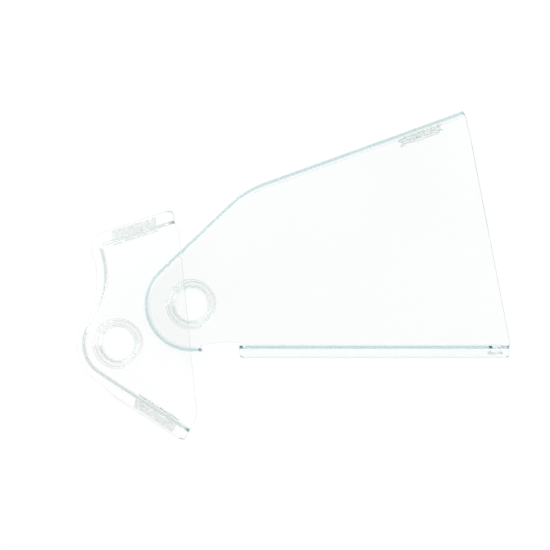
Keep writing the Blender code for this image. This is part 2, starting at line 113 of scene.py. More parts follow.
def addSky():
    world = bpy.data.worlds.new("sky")
    world.use_nodes = True
    nodes, links = world.node_tree.nodes, world.node_tree.links
    coordinates = nodes.new("ShaderNodeTexCoord")
    split = nodes.new("ShaderNodeSeparateXYZ")
    ramp = nodes.new("ShaderNodeValToRGB")
    links.new(coordinates.outputs["Generated"], split.inputs[0])
    links.new(split.outputs["Z"], ramp.inputs["Fac"])
    links.new(ramp.outputs["Color"], nodes["Background"].inputs["Color"])
    levels = [(0.0, studio["skyEdge"]), (studio["skyRise"], studio["skyTop"]), (1.0, studio["skyTop"])]
    while len(ramp.color_ramp.elements) < len(levels):
        ramp.color_ramp.elements.new(0.5)
    for stop, (height, grey) in zip(ramp.color_ramp.elements, levels):
        stop.position = height
        stop.color = (grey, grey, grey, 1.0)
    scene.world = world


def addFloor():
    bm = bmesh.new()
    segments, radius = studio["floorSegments"], studio["floorRadius"]
    bmesh.ops.create_circle(bm, cap_ends=True, segments=segments, radius=radius)
    mesh = bpy.data.meshes.new("floor")
    bm.to_mesh(mesh)
    bm.free()
    floor = bpy.data.objects.new("floor", mesh)
    floor.location.z = -studio["floorDrop"]
    scene.collection.objects.link(floor)
    material = bpy.data.materials.new("paleFloor")
    material.use_nodes = True
    shader = material.node_tree.nodes["Principled BSDF"]
    shader.inputs["Base Color"].default_value = studio["floorColour"]
    shader.inputs["Roughness"].default_value = studio["floorRoughness"]
    shader.inputs["Specular IOR Level"].default_value = studio["floorGloss"]
    mesh.materials.append(material)


addCamera()
addSky()
addSoftbox("keySoftbox", studio["keyPlace"], studio["keySize"], studio["keyPower"])
addSoftbox("fillSoftbox", studio["fillPlace"], studio["fillSize"], studio["fillPower"])
addFloor()
scene.view_settings.view_transform = "Standard"
scene.cycles.max_bounces = studio["bounces"]           # light runs down inside the walls
scene.cycles.transmission_bounces = studio["bounces"]
scene.cycles.glossy_bounces = studio["bounces"]
print("studio ready")


def newFinish(name):
    material = bpy.data.materials.new(name)
    material.use_nodes = True
    tree = material.node_tree
    return material, tree, tree.nodes["Principled BSDF"]


def noiseAt(tree, scale, detail=2.0, stretch=(1.0, 1.0, 1.0)):
    place = tree.nodes.new("ShaderNodeTexCoord")
    mapping = tree.nodes.new("ShaderNodeMapping")
    mapping.inputs["Scale"].default_value = stretch
    noise = tree.nodes.new("ShaderNodeTexNoise")
    noise.inputs["Scale"].default_value = scale
    noise.inputs["Detail"].default_value = detail
    tree.links.new(place.outputs["Object"], mapping.inputs["Vector"])
    tree.links.new(mapping.outputs["Vector"], noise.inputs["Vector"])
    return noise.outputs["Fac"]


def spread(tree, source, low, high, fromLow=0.3, fromHigh=0.7):
    remap = tree.nodes.new("ShaderNodeMapRange")
    remap.inputs["From Min"].default_value = fromLow
    remap.inputs["From Max"].default_value = fromHigh
    remap.inputs["To Min"].default_value = low
    remap.inputs["To Max"].default_value = high
    tree.links.new(source, remap.inputs["Value"])
    return remap.outputs["Result"]


def shades(tree, source, dark, light):
    ramp = tree.nodes.new("ShaderNodeValToRGB")
    ramp.color_ramp.elements[0].position = 0.35
    ramp.color_ramp.elements[0].color = (*dark, 1.0)
    ramp.color_ramp.elements[1].position = 0.65
    ramp.color_ramp.elements[1].color = (*light, 1.0)
    tree.links.new(source, ramp.inputs["Fac"])
    return ramp.outputs["Color"]


def bumped(tree, shader, source, strength, distance):
    bump = tree.nodes.new("ShaderNodeBump")
    bump.inputs["Strength"].default_value = strength
    bump.inputs["Distance"].default_value = distance
    tree.links.new(source, bump.inputs["Height"])
    tree.links.new(bump.outputs["Normal"], shader.inputs["Normal"])


def lampsThrough(tree, shader, tint):
    path = tree.nodes.new("ShaderNodeLightPath")
    clear = tree.nodes.new("ShaderNodeBsdfTransparent")
    clear.inputs["Color"].default_value = (*tint, 1.0)
    mix = tree.nodes.new("ShaderNodeMixShader")
    tree.links.new(path.outputs["Is Shadow Ray"], mix.inputs["Fac"])
    tree.links.new(shader.outputs[0], mix.inputs[1])
    tree.links.new(clear.outputs[0], mix.inputs[2])
    tree.links.new(mix.outputs[0], tree.nodes["Material Output"].inputs["Surface"])


clearPlastic = {
    "ior": 1.50,
    "tintDark": (0.988, 0.976, 0.972),
    "tintLight": (1.0, 0.988, 0.985),
    # painted shade: a darker colour mixed onto the softened rim so the clear edges read as dark lines
    "rimPaintedShade": (0.76, 0.80, 0.78),
    "patchScale": 9.0,
    "rough": 0.012,
    "roughPatch": 0.035,
    "hazeScale": 60.0,
    "hazeStretch": (1.0, 0.35, 1.0),
    "rimRough": 0.10,
    "rippleScale": 22.0,
    "rippleDepth": 0.00012,
    "depthColour": (0.10, 0.60, 0.66, 1.0),     # what is left of white deep inside the plastic
    "depthDensity": 11.0,
    "lampTint": (0.975, 0.978, 0.977),
}


def clearFinish(name, look):
    material, tree, shader = newFinish(name)
    shader.inputs["Transmission Weight"].default_value = 1.0
    shader.inputs["IOR"].default_value = look["ior"]
    patches = noiseAt(tree, look["patchScale"], 3.0)
    # the rim's colour is mixed toward a darker grey-green, which is painted shade for the dark line a clear
    # edge shows; its extra roughness below stands for the hazy moulded edge
    rim = tree.nodes.new("ShaderNodeAttribute")
    rim.attribute_name = "rim"
    rimShadeMix = tree.nodes.new("ShaderNodeMix")
    rimShadeMix.data_type = "RGBA"
    rimShadeMix.inputs["B"].default_value = (*look["rimPaintedShade"], 1.0)
    tree.links.new(rim.outputs["Fac"], rimShadeMix.inputs["Factor"])
    tree.links.new(shades(tree, patches, look["tintDark"], look["tintLight"]), rimShadeMix.inputs["A"])
    tree.links.new(rimShadeMix.outputs["Result"], shader.inputs["Base Color"])
    frost = tree.nodes.new("ShaderNodeMath")
    frost.operation = "MULTIPLY_ADD"
    frost.inputs[1].default_value = look["rimRough"]
    tree.links.new(rim.outputs["Fac"], frost.inputs[0])
    haze = noiseAt(tree, look["hazeScale"], 5.0, look["hazeStretch"])
    tree.links.new(spread(tree, haze, look["rough"], look["roughPatch"]), frost.inputs[2])
    tree.links.new(frost.outputs[0], shader.inputs["Roughness"])
    bumped(tree, shader, noiseAt(tree, look["rippleScale"], 1.0), 1.0, look["rippleDepth"])
    lampsThrough(tree, shader, look["lampTint"])
    depth = tree.nodes.new("ShaderNodeVolumeAbsorption")
    depth.inputs["Color"].default_value = look["depthColour"]
    depth.inputs["Density"].default_value = look["depthDensity"]
    tree.links.new(depth.outputs[0], tree.nodes["Material Output"].inputs["Volume"])
    return material


# the small leaf, which looks greener and paler at its bends
clearSmallPlastic = dict(
    clearPlastic,
    tintDark=(0.982, 0.979, 0.977),
    tintLight=(0.996, 0.994, 0.992),
    depthColour=(0.28, 0.56, 0.52, 1.0),
    depthDensity=6.5,
)


gripFinish = {
    "adhesiveDark": (0.80, 0.86, 0.80),
    "adhesiveLight": (1.0, 1.0, 1.0),
    "stripDark": (0.72, 0.82, 0.79),
    "stripLight": (1.0, 1.0, 1.0),
    "adhesiveClear": 0.85,
    "stripClear": 0.8,
    "adhesiveRough": 0.20,
    "stripRough": 0.25,
    "roughSpread": 0.25,
    "ior": 1.47,
    "speckle": 380.0,           # grains to the metre
    "grainStrength": 0.6,
    "grainDepth": 0.00015,
    "lampTint": (0.93, 0.94, 0.93),
}


def gripLayerFinish(name, kind):
    look = gripFinish
    material, tree, shader = newFinish(name)
    shader.inputs["Transmission Weight"].default_value = look[kind + "Clear"]
    shader.inputs["IOR"].default_value = look["ior"]
    grain = noiseAt(tree, look["speckle"], 4.0)
    mottle = shades(tree, grain, look[kind + "Dark"], look[kind + "Light"])
    tree.links.new(mottle, shader.inputs["Base Color"])
    rough = look[kind + "Rough"]
    tree.links.new(spread(tree, grain, rough, rough + look["roughSpread"]), shader.inputs["Roughness"])
    bumped(tree, shader, grain, look["grainStrength"], look["grainDepth"])
    lampsThrough(tree, shader, look["lampTint"])
    return material


clearSheet = clearFinish("clearSheet", clearPlastic)
clearSmallSheet = clearFinish("clearSmallSheet", clearSmallPlastic)
clearBush = clearFinish("clearBush", clearPlastic)
clearClip = clearFinish("clearClip", clearPlastic)
padAdhesive = gripLayerFinish("padAdhesive", "adhesive")
padStrip = gripLayerFinish("padStrip", "strip")
print("finishes ready")


# the clear stock that both leaves are moulded from
sheetStock = {
    "thickness": 0.0032,
    "innerBend": 0.0020,    # inside radius where a wall leaves its plate
    "rim": 0.0005,          # softened edge all the way round
    "bendSteps": 10,
    "arcStep": 2.0,         # degrees between columns round a curve
    "cornerSteps": 14,
    "widenSteps": 12,
    "rimShape": ((0.93, 0.50), (0.75, 0.87), (0.5, 1.0), (-0.5, 1.0), (-0.75, 0.87), (-0.93, 0.50)),
    "sharpAngle": 50.0,     # degrees; a fold sharper than this stays crisp
    "normalWeight": 50,
}


def heading(degrees):
    return Vector((math.cos(math.radians(degrees)), math.sin(math.radians(degrees))))


def angleOf(vector):
    return math.atan2(vector.y, vector.x)


def finishPiece(name, bm, material, body, slot, stands, place):
    bmesh.ops.recalc_face_normals(bm, faces=bm.faces)
    mesh = bpy.data.meshes.new(name)
    bm.to_mesh(mesh)
    bm.free()
    mesh.materials.append(material)
    mesh.shade_smooth()
    mesh.set_sharp_from_angle(angle=math.radians(sheetStock["sharpAngle"]))
    piece = bpy.data.objects.new(name, mesh)
    piece.matrix_world = place
    scene.collection.objects.link(piece)
    weighted = piece.modifiers.new("weightedNormals", "WEIGHTED_NORMAL")
    weighted.keep_sharp = True
    weighted.weight = sheetStock["normalWeight"]
    piece.visible_diffuse = False
    piece.visible_shadow = slot == "clear_sheet"
    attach(piece, body)
    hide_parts(stands)
    print("made", name, len(mesh.polygons), "faces")
    return piece


def crossing(normalA, distanceA, normalB, distanceB):
    turn = normalA.x * normalB.y - normalA.y * normalB.x
    return Vector((
        (distanceA * normalB.y - distanceB * normalA.y) / turn,
        (normalA.x * distanceB - normalB.x * distanceA) / turn,
    ))


def cornerLift(distance, radius):
    if distance >= radius:
        return 0.0
    return radius - math.sqrt(radius**2 - (radius - distance) ** 2)


def straightRun(start, end, outward, out, startCorner=0.0, endCorner=0.0, widening=None, slants=(0.0, 0.0)):
    rim = sheetStock["rim"]
    along = (end - start).normalized()
    if startCorner:
        start = start + along * rim
        startCorner -= rim
    if endCorner:
        end = end - along * rim
        endCorner -= rim
    length = (end - start).length
    steps = sheetStock["cornerSteps"]
    turn = [i * math.pi / 2 / steps for i in range(steps + 1)]
    stops = {0.0, length}
    if startCorner:
        stops |= {startCorner * (1 - math.cos(angle)) for angle in turn}
    if endCorner:
        stops |= {length - endCorner * (1 - math.cos(angle)) for angle in turn}
    if widening:
        widenSteps = sheetStock["widenSteps"]
        stops |= {widening[1] * (i + 1) / widenSteps for i in range(widenSteps)}
    columns = []
    for stop in sorted(stops):
        lift = rim + max(cornerLift(stop, startCorner), cornerLift(length - stop, endCorner))
        spreadHere = out
        if widening and stop < widening[1]:
            share = stop / widening[1]
            spreadHere = widening[0] + (out - widening[0]) * share * share * (3 - 2 * share)
        slant = slants[0] * (stop <= startCorner) + slants[1] * (length - stop <= endCorner)
        columns.append((start + along * stop, outward, spreadHere, lift, along * slant))
    return columns


def curvedRun(centre, radius, startAngle, endAngle, startSpread, endSpread, bulge=1):
    steps = max(6, math.ceil(math.degrees(abs(endAngle - startAngle)) / sheetStock["arcStep"]))
    columns = []
    for i in range(1, steps):
        share = i / steps
        ray = heading(math.degrees(startAngle + (endAngle - startAngle) * share))
        out = startSpread + (endSpread - startSpread) * share
        columns.append((centre + ray * radius, ray * bulge, out, sheetStock["rim"], Vector((0.0, 0.0))))
    return columns


def easedEdge(tip, edgeNormal, edgeDistance, radius, way):
    rim = sheetStock["rim"]
    edgeDistance -= rim
    radius -= rim
    along = Vector((-edgeNormal.y, edgeNormal.x)) * way
    inset = edgeDistance - tip.dot(edgeNormal)
    reach = math.sqrt(max(2 * radius * inset - inset**2, 0.0))
    centre = along * (tip.dot(along) + reach) + edgeNormal * (edgeDistance - radius)
    start = angleOf(tip - centre)
    swing = math.remainder(angleOf(edgeNormal) - start, math.tau)
    steps = max(4, math.ceil(math.degrees(abs(swing)) / sheetStock["arcStep"]))
    rays = [heading(math.degrees(start + swing * i / steps)) for i in range(1, steps + 1)]
    return [centre + ray * radius for ray in rays]


def bendSetback(height, out):
    bend = math.pi / 2 - math.atan2(out, height)
    return (sheetStock["innerBend"] + sheetStock["thickness"]) * math.tan(bend / 2)


def wallSection(height, out, lift):
    thickness, inside = sheetStock["thickness"], sheetStock["innerBend"]
    lean = math.atan2(out, height)
    centre = Vector((-bendSetback(height, out), height - inside - thickness))
    outer, inner = [], []
    for i in range(sheetStock["bendSteps"] + 1):
        ray = heading(90 + math.degrees(lean - math.pi / 2) * i / sheetStock["bendSteps"])
        outer.append(centre + ray * (inside + thickness))
        inner.append(centre + ray * inside)
    reach = (height - lift) * math.tan(lean)
    outer.append(Vector((reach, lift)))
    inner.append(Vector((reach - thickness / math.cos(lean), lift)))
    return outer, inner


def columnVerts(bm, column, height):
    point, outward, out, lift, slant = column
    sides = []
    for side in wallSection(height, out, lift):
        verts = []
        for reach, level in side:
            fall = slant * (max(side[-2].y - level, 0.0) / side[-2].y)
            verts.append(bm.verts.new((*(point + outward * reach + fall), level)))
        sides.append(verts)
    return sides


def closeRim(bm, pairs, rimLayer):
    rim = sheetStock["rim"]
    chains = []
    for i, (outer, inner) in enumerate(pairs):
        before, after = pairs[i - 1], pairs[(i + 1) % len(pairs)]
        ahead = (after[0].co + after[1].co - before[0].co - before[1].co).normalized()
        half = (outer.co - inner.co) / 2
        middle = (outer.co + inner.co) / 2
        away = ahead.cross(half).normalized()
        verts = []
        for across, down in sheetStock["rimShape"]:
            verts.append(bm.verts.new(middle + half * across + away * (rim * down)))
        for vert in verts:
            vert[rimLayer] = 1.0
        chains.append([outer, *verts, inner])
    for chainA, chainB in zip(chains, chains[1:] + chains[:1]):
        for i in range(len(chainA) - 1):
            bm.faces.new((chainA[i], chainA[i + 1], chainB[i + 1], chainB[i]))


def ringAt(bm, radius, level, segments):
    verts = []
    for i in range(segments):
        angle = math.tau * i / segments
        verts.append(bm.verts.new((radius * math.cos(angle), radius * math.sin(angle), level)))
    return verts


def bridgeRings(bm, ringA, ringB):
    for i in range(len(ringA)):
        bm.faces.new((ringA[i - 1], ringA[i], ringB[i], ringB[i - 1]))


def fillPlate(bm, loop, ring):
    verts = loop + ring
    edges = [(i - 1 if i else len(loop) - 1, i) for i in range(len(loop))]
    edges += [(len(loop) + (i - 1) % len(ring), len(loop) + i) for i in range(len(ring))]
    points = [vert.co.xy for vert in verts]
    insideOnly, tiny = 1, 1e-7
    _, _, faces, sources, _, _ = delaunay_2d_cdt(points, edges, [], insideOnly, tiny)
    for face in faces:
        corners = [sources[i][0] for i in face]
        if min(corners) < len(loop):        # a face on ring corners alone lies in the hub hole
            bm.faces.new([verts[i] for i in corners])


hubCollar = {
    "radius": 0.0153,       # runs on the bush with a 0.3 mm gap
    "wall": 0.0030,
    "length": 0.0060,       # below the plate
    "rim": 0.0004,
    "fillet": 0.0008,
    "segments": 120,
}


def collarRings(bm, height):
    rim, fillet = hubCollar["rim"], hubCollar["fillet"]
    inner, outer = hubCollar["radius"], hubCollar["radius"] + hubCollar["wall"]
    under = height - sheetStock["thickness"]
    end = under - hubCollar["length"]
    quarter = [heading(15 * i) for i in range(7)]
    profile = [(inner + rim - rim * ray.y, height - rim + rim * ray.x) for ray in quarter]
    profile += [(inner + rim - rim * ray.x, end + rim - rim * ray.y) for ray in quarter]
    profile += [(outer - rim + rim * ray.y, end + rim - rim * ray.x) for ray in quarter]
    profile += [(outer + fillet - fillet * ray.x, under - fillet + fillet * ray.y) for ray in quarter]
    rings = [ringAt(bm, radius, level, hubCollar["segments"]) for radius, level in profile]
    for ringA, ringB in zip(rings, rings[1:]):
        bridgeRings(bm, ringA, ringB)
    return rings[0], rings[-1]


def leafMesh(walls, edges, height):
    bm = bmesh.new()
    rimLayer = bm.verts.layers.float.new("rim")
    thickness = sheetStock["thickness"]
    rim, plateTop, plateUnder = [], [], []
    for columns, edge in zip(walls, edges):
        rows = [columnVerts(bm, column, height) for column in columns]
        for rowA, rowB in zip(rows, rows[1:]):
            for sideA, sideB in zip(rowA, rowB):
                for i in range(len(sideA) - 1):
                    bm.faces.new((sideA[i], sideA[i + 1], sideB[i + 1], sideB[i]))
        rim += list(zip(*rows[0]))
        rim += [(outer[-1], inner[-1]) for outer, inner in rows[1:-1]]
        rim += reversed(list(zip(*rows[-1])))
        openPairs = [
            (bm.verts.new((*point, height)), bm.verts.new((*point, height - thickness))) for point in edge
        ]
        rim += openPairs
        plateTop += [outer[0] for outer, _ in rows] + [top for top, _ in openPairs]
        plateUnder += [inner[0] for _, inner in rows] + [under for _, under in openPairs]
    closeRim(bm, rim, rimLayer)
    topRing, underRing = collarRings(bm, height)
    fillPlate(bm, plateTop, topRing)
    fillPlate(bm, plateUnder, underRing)
    return bm


def softened(profile, radius, steps=4):
    points = []
    for i, corner in enumerate(profile):
        corner = Vector(corner)
        before = Vector(profile[i - 1]) - corner
        after = Vector(profile[(i + 1) % len(profile)]) - corner
        start = corner + before.normalized() * min(radius, before.length * 0.45)
        end = corner + after.normalized() * min(radius, after.length * 0.45)
        for step in range(steps + 1):
            share = step / steps
            points.append(start.lerp(corner, share).lerp(corner.lerp(end, share), share))
    return points


def turnedMesh(profile, segments, sweep=360.0):
    bm = bmesh.new()
    whole = sweep >= 360.0
    steps = segments if whole else math.ceil(segments * sweep / 360.0)
    rings = []
    for i in range(steps if whole else steps + 1):
        ray = heading(sweep * i / steps)
        rings.append([bm.verts.new((radius * ray.x, radius * ray.y, level)) for radius, level in profile])
    for ringA, ringB in zip(rings, rings[1:] + rings[:1] if whole else rings[1:]):
        bridgeRings(bm, ringA, ringB)
    if not whole:
        bm.faces.new(rings[0])
        bm.faces.new(rings[-1])
    return bm


smallLeafSizes = {
    "knuckle": 0.0280,      # plate radius about the hub
    "top": 0.0790,          # hub axis to the top edge
    "topSlope": 18.0,
    "side": 0.0570,
    "sideLean": 5.8,
    "bottomSlope": 32.5,
    "waistRadius": 0.0640,
    "waistHeight": 0.0536,
    "corner": 0.0035,
    "topTrim": 0.0030,
    "bottomTrim": 0.0095,
    "topSpread": 0.0144,    # how far the wall's free edge stands outside the plate
    "sideSpread": 0.0118,
    "elbowSpread": 0.0100,
    "bottomSpread": 0.0132,
    "spreadRun": 0.0220,
    "wallCorner": 0.0095,
    "ease": 0.0240,
}


def smallLeafEnds():
    s = smallLeafSizes
    topNormal, bottomNormal = heading(90 + s["topSlope"]), heading(270 - s["bottomSlope"])
    topRun, bottomRun = heading(s["topSlope"]), heading(-s["bottomSlope"])
    sideNormal = heading(s["sideLean"])
    topEnd = crossing(topNormal, s["top"], sideNormal, s["side"]) - topRun * s["topTrim"]
    bottomEnd = crossing(bottomNormal, s["knuckle"], sideNormal, s["side"]) - bottomRun * s["bottomTrim"]
    return (topNormal, topRun, topEnd), (bottomNormal, bottomRun, bottomEnd), sideNormal


def smallLeafOutline():
    s = smallLeafSizes
    rim = sheetStock["rim"]
    (topNormal, topRun, topEnd), (bottomNormal, bottomRun, bottomEnd), sideNormal = smallLeafEnds()
    span = s["waistRadius"] + s["knuckle"]
    waist = Vector((-math.sqrt(span**2 - s["waistHeight"] ** 2), s["waistHeight"]))
    level = s["top"] - s["corner"] - waist.dot(topNormal)
    reach = math.sqrt((s["waistRadius"] + s["corner"]) ** 2 - level**2)
    corner = waist + topNormal * level + topRun * reach
    wall = straightRun(
        topEnd, corner + topNormal * s["corner"], topNormal, s["topSpread"], startCorner=s["wallCorner"]
    )
    wall += curvedRun(
        corner, s["corner"], angleOf(topNormal), angleOf(waist - corner) % math.tau,
        s["topSpread"], s["sideSpread"],
    )
    wall += curvedRun(
        waist, s["waistRadius"], angleOf(corner - waist), angleOf(-waist),
        s["sideSpread"], s["sideSpread"], bulge=-1,
    )
    wall += curvedRun(
        Vector((0.0, 0.0)), s["knuckle"], angleOf(waist), angleOf(bottomNormal) % math.tau,
        s["sideSpread"], s["elbowSpread"],
    )
    wall += straightRun(
        bottomNormal * s["knuckle"], bottomEnd, bottomNormal, s["bottomSpread"],
        endCorner=s["wallCorner"], widening=(s["elbowSpread"], s["spreadRun"]),
    )
    bottomTip = bottomEnd - bottomRun * rim - bottomNormal * bendSetback(smallHeight, s["bottomSpread"])
    topTip = topEnd - topRun * rim - topNormal * bendSetback(smallHeight, s["topSpread"])
    openEdge = easedEdge(bottomTip, sideNormal, s["side"], s["ease"], 1)
    openEdge += reversed(easedEdge(topTip, sideNormal, s["side"], s["ease"], -1))
    return [wall], [openEdge]


largeLeafSizes = {
    "knuckle": 0.0376,
    "foot": 0.0345,
    "top": 0.0726,
    "topSlope": 19.9,
    "shoulderSlope": 43.7,
    "shoulderRadius": 0.0800,
    "side": 0.2452,
    "sideLean": 10.3,
    "topTrim": 0.0018,
    "bottomTrim": 0.0010,
    "easeTop": 0.3000,
    "easeBottom": 0.0240,
    "notchStart": 0.0080,   # relief between the knuckle wall and the foot wall
    "notchEnd": 0.0380,
    "notchRise": 0.0010,
    "notchSteps": 24,
    "topSpread": 0.0010,
    "knuckleSpread": 0.0010,
    "footSpread": 0.0088,
    "endSlant": 0.0050,
    "wallCorner": 0.0060,
    "hangHole": 0.0058,
    "hangInset": 0.0092,
    "hangRim": 0.0004,
    "hangSegments": 64,
}


def largeLeafEnds():
    s = largeLeafSizes
    topNormal, sideNormal = heading(90 + s["topSlope"]), heading(s["sideLean"])
    footNormal = Vector((0.0, -1.0))
    topEnd = crossing(topNormal, s["top"], sideNormal, s["side"]) - heading(s["topSlope"]) * s["topTrim"]
    footEnd = crossing(footNormal, s["foot"], sideNormal, s["side"]) - Vector((s["bottomTrim"], 0.0))
    return topNormal, sideNormal, footNormal, topEnd, footEnd


def largeLeafOutline():
    s = largeLeafSizes
    rim = sheetStock["rim"]
    topNormal, sideNormal, footNormal, topEnd, footEnd = largeLeafEnds()
    shoulderNormal = heading(90 + s["shoulderSlope"])
    radius = s["shoulderRadius"]
    shoulder = crossing(topNormal, s["top"] - radius, shoulderNormal, s["knuckle"] - radius)
    notchStart = Vector((s["notchStart"], -s["knuckle"]))
    notchEnd = Vector((s["notchEnd"], -s["foot"]))
    upperWall = straightRun(
        topEnd, shoulder + topNormal * radius, topNormal, s["topSpread"],
        startCorner=s["wallCorner"], slants=(-s["endSlant"], 0.0),
    )
    upperWall += curvedRun(
        shoulder, radius, angleOf(topNormal), angleOf(shoulderNormal), s["topSpread"], s["topSpread"]
    )
    upperWall += straightRun(
        shoulder + shoulderNormal * radius, shoulderNormal * s["knuckle"], shoulderNormal, s["topSpread"]
    )
    upperWall += curvedRun(
        Vector((0.0, 0.0)), s["knuckle"], angleOf(shoulderNormal), math.radians(270),
        s["topSpread"], s["knuckleSpread"],
    )
    upperWall += straightRun(
        footNormal * s["knuckle"], notchStart, footNormal, s["knuckleSpread"], endCorner=s["wallCorner"]
    )
    footWall = straightRun(
        notchEnd, footEnd, footNormal, s["footSpread"],
        startCorner=s["wallCorner"], endCorner=s["wallCorner"], slants=(0.0, s["endSlant"]),
    )
    notchStart += Vector((-rim, bendSetback(largeHeight, s["knuckleSpread"])))
    notchEnd += Vector((rim, bendSetback(largeHeight, s["footSpread"])))
    notch = []
    for i in range(1, s["notchSteps"]):
        share = i / s["notchSteps"]
        point = notchStart.lerp(notchEnd, share)
        point.y = notchStart.y + (notchEnd.y - notchStart.y) * share * share * (3 - 2 * share)
        point.y += s["notchRise"] * math.sin(math.pi * share) + rim * math.sin(math.pi * share)
        notch.append(point)
    footTip = footEnd - Vector((rim, 0.0)) - footNormal * bendSetback(largeHeight, s["footSpread"])
    topTip = topEnd - heading(s["topSlope"]) * rim - topNormal * bendSetback(largeHeight, s["topSpread"])
    openEdge = easedEdge(footTip, sideNormal, s["side"], s["easeBottom"], 1)
    openEdge += reversed(easedEdge(topTip, sideNormal, s["side"], s["easeTop"], -1))
    return [upperWall, footWall], [notch, openEdge]


def wallFace(point, outward, out, height):
    lean = math.atan2(out, height)
    low, high = gripPad["footMargin"], height - sheetStock["thickness"] - gripPad["topMargin"]
    middle = (low + high) / 2
    reach = (height - middle) * math.tan(lean) - sheetStock["thickness"] / math.cos(lean)
    across = Vector((*outward, 0.0))
    inward = -(across * math.cos(lean) + Vector((0.0, 0.0, math.sin(lean))))
    upWall = Vector((0.0, 0.0, math.cos(lean))) - across * math.sin(lean)
    along = upWall.cross(inward)
    place = Vector((*point, 0.0)) + across * reach + Vector((0.0, 0.0, middle))
    axes = Matrix((along, upWall, inward)).transposed().to_4x4()
    return Matrix.Translation(place) @ axes, (high - low) / (2 * math.cos(lean))


gripPad = {
    "topMargin": 0.0030,
    "footMargin": 0.0018,
    "long": 0.0380,
    "short": 0.0345,
    "corner": 0.0015,
    "layerGap": 0.0003,
    "adhesive": 0.0006,
    "strip": 0.0018,
    "film": 0.0005,         # the strip's base, which its stems stand on
    "stemPitch": 0.0015,
    "stemRadius": 0.00022,
    "headRadius": 0.00052,
    "headHeight": 0.00036,
    "headShape": ((0.96, 0.00002), (1.0, 0.00010), (0.62, 0.00032)),    # share of its radius, rise
    "stemSides": 8,
    "stemEdge": 0.0003,     # bare film outside the last heads
    "filmBite": 0.00005,    # how far a stem reaches into its film
    "smallTopInset": 0.0152,
    "smallBottomInset": 0.0120,
    "largeInset": 0.0200,
}


def hangHoleCutter(face):
    radius, rim, thickness = largeLeafSizes["hangHole"], largeLeafSizes["hangRim"], sheetStock["thickness"]
    quarter = [heading(18 * i) for i in range(6)]
    profile = [(radius + rim, -3 * thickness)]
    profile += [(radius + rim - rim * ray.y, -thickness + rim - rim * ray.x) for ray in quarter]
    profile += [(radius + rim - rim * ray.x, -rim + rim * ray.y) for ray in quarter]
    profile += [(radius + rim, 2 * thickness)]
    bm = bmesh.new()
    rings = [ringAt(bm, across, level, largeLeafSizes["hangSegments"]) for across, level in profile]
    for ringA, ringB in zip(rings, rings[1:]):
        bridgeRings(bm, ringA, ringB)
    bm.faces.new(rings[0])
    bm.faces.new(rings[-1])
    bmesh.ops.recalc_face_normals(bm, faces=bm.faces)
    mesh = bpy.data.meshes.new("hangHoleCutter")
    bm.to_mesh(mesh)
    bm.free()
    cutter = bpy.data.objects.new("hangHoleCutter", mesh)
    cutter.matrix_world = Matrix.Translation(largeHub) @ face
    scene.collection.objects.link(cutter)
    return cutter


def cutAway(piece, cutter):
    cut = piece.modifiers.new("cut", "BOOLEAN")
    cut.operation = "DIFFERENCE"
    cut.object = cutter
    piece.modifiers.move(1, 0)      # before the normals are weighted
    weighted = piece.modifiers[1]
    weighted.show_viewport = False
    bpy.context.view_layer.update()
    mesh = bpy.data.meshes.new_from_object(piece.evaluated_get(bpy.context.evaluated_depsgraph_get()))
    piece.modifiers.remove(cut)
    weighted.show_viewport = True
    mesh.name = piece.name
    piece.data = mesh
    mesh.shade_smooth()
    mesh.set_sharp_from_angle(angle=math.radians(sheetStock["sharpAngle"]))
    bpy.data.objects.remove(cutter, do_unlink=True)


def addLeaf(name, outline, height, hub, finish, body):
    bm = leafMesh(*outline, height)
    return finishPiece(name, bm, finish, body, "clear_sheet", body, Matrix.Translation(hub))


smallWalls, smallEdges = smallLeafOutline()
largeWalls, largeEdges = largeLeafOutline()
addLeaf("smallLeaf", (smallWalls, smallEdges), smallHeight, smallHub, clearSmallSheet, "small_leaf")
largeLeaf = addLeaf("largeLeaf", (largeWalls, largeEdges), largeHeight, largeHub, clearSheet, "large_leaf")
_, _, footNormal, _, footEnd = largeLeafEnds()
hangPoint = footEnd - Vector((largeLeafSizes["hangInset"], 0.0))
hangFace, _ = wallFace(hangPoint, footNormal, largeLeafSizes["footSpread"], largeHeight)
cutAway(largeLeaf, hangHoleCutter(hangFace))
print("both leaves moulded")


railBush = {
    "bore": 0.0130,
    "stopLip": 0.0016,
    "stopThickness": 0.0015,
    "wall": 0.0020,
    "rim": 0.0052,          # how far the flange reaches past the sleeve
    "flange": 0.0012,
    "leadIn": 0.0007,
    "clipThickness": 0.0016,
    "clipGrip": 0.0008,
    "clipReach": 0.0028,
    "clipOpening": 70.0,
    "sleeveEnd": 0.0015,
    "gap": 0.0003,
    "soften": 0.00025,
    "segments": 144,
}


def bushLevels(height):
    b = railBush
    seat = height + b["gap"]
    grooveTop = height - sheetStock["thickness"] - hubCollar["length"]
    grooveEnd = grooveTop - b["clipThickness"] - 2 * b["gap"]
    return seat + b["flange"], seat, grooveTop, grooveEnd, grooveEnd - b["sleeveEnd"]


def addBush(name, height, hub, node):
    b = railBush
    top, seat, grooveTop, grooveEnd, end = bushLevels(height)
    bore, sleeve, lead = b["bore"], b["bore"] + b["wall"], b["leadIn"]
    flange, groove = sleeve + b["rim"], sleeve - b["clipGrip"]
    profile = [
        (bore + lead, top), (flange - lead, top), (flange, top - lead), (flange, seat),
        (sleeve, seat), (sleeve, grooveTop), (groove, grooveTop), (groove, grooveEnd),
        (sleeve, grooveEnd), (sleeve - lead, end), (bore - b["stopLip"], end),
        (bore - b["stopLip"], end + b["stopThickness"]), (bore, end + b["stopThickness"]), (bore, top - lead),
    ]
    bm = turnedMesh(softened(profile, b["soften"]), b["segments"])
    finishPiece(name, bm, clearBush, "rail_bushes", "clear_bush", node, Matrix.Translation(hub))


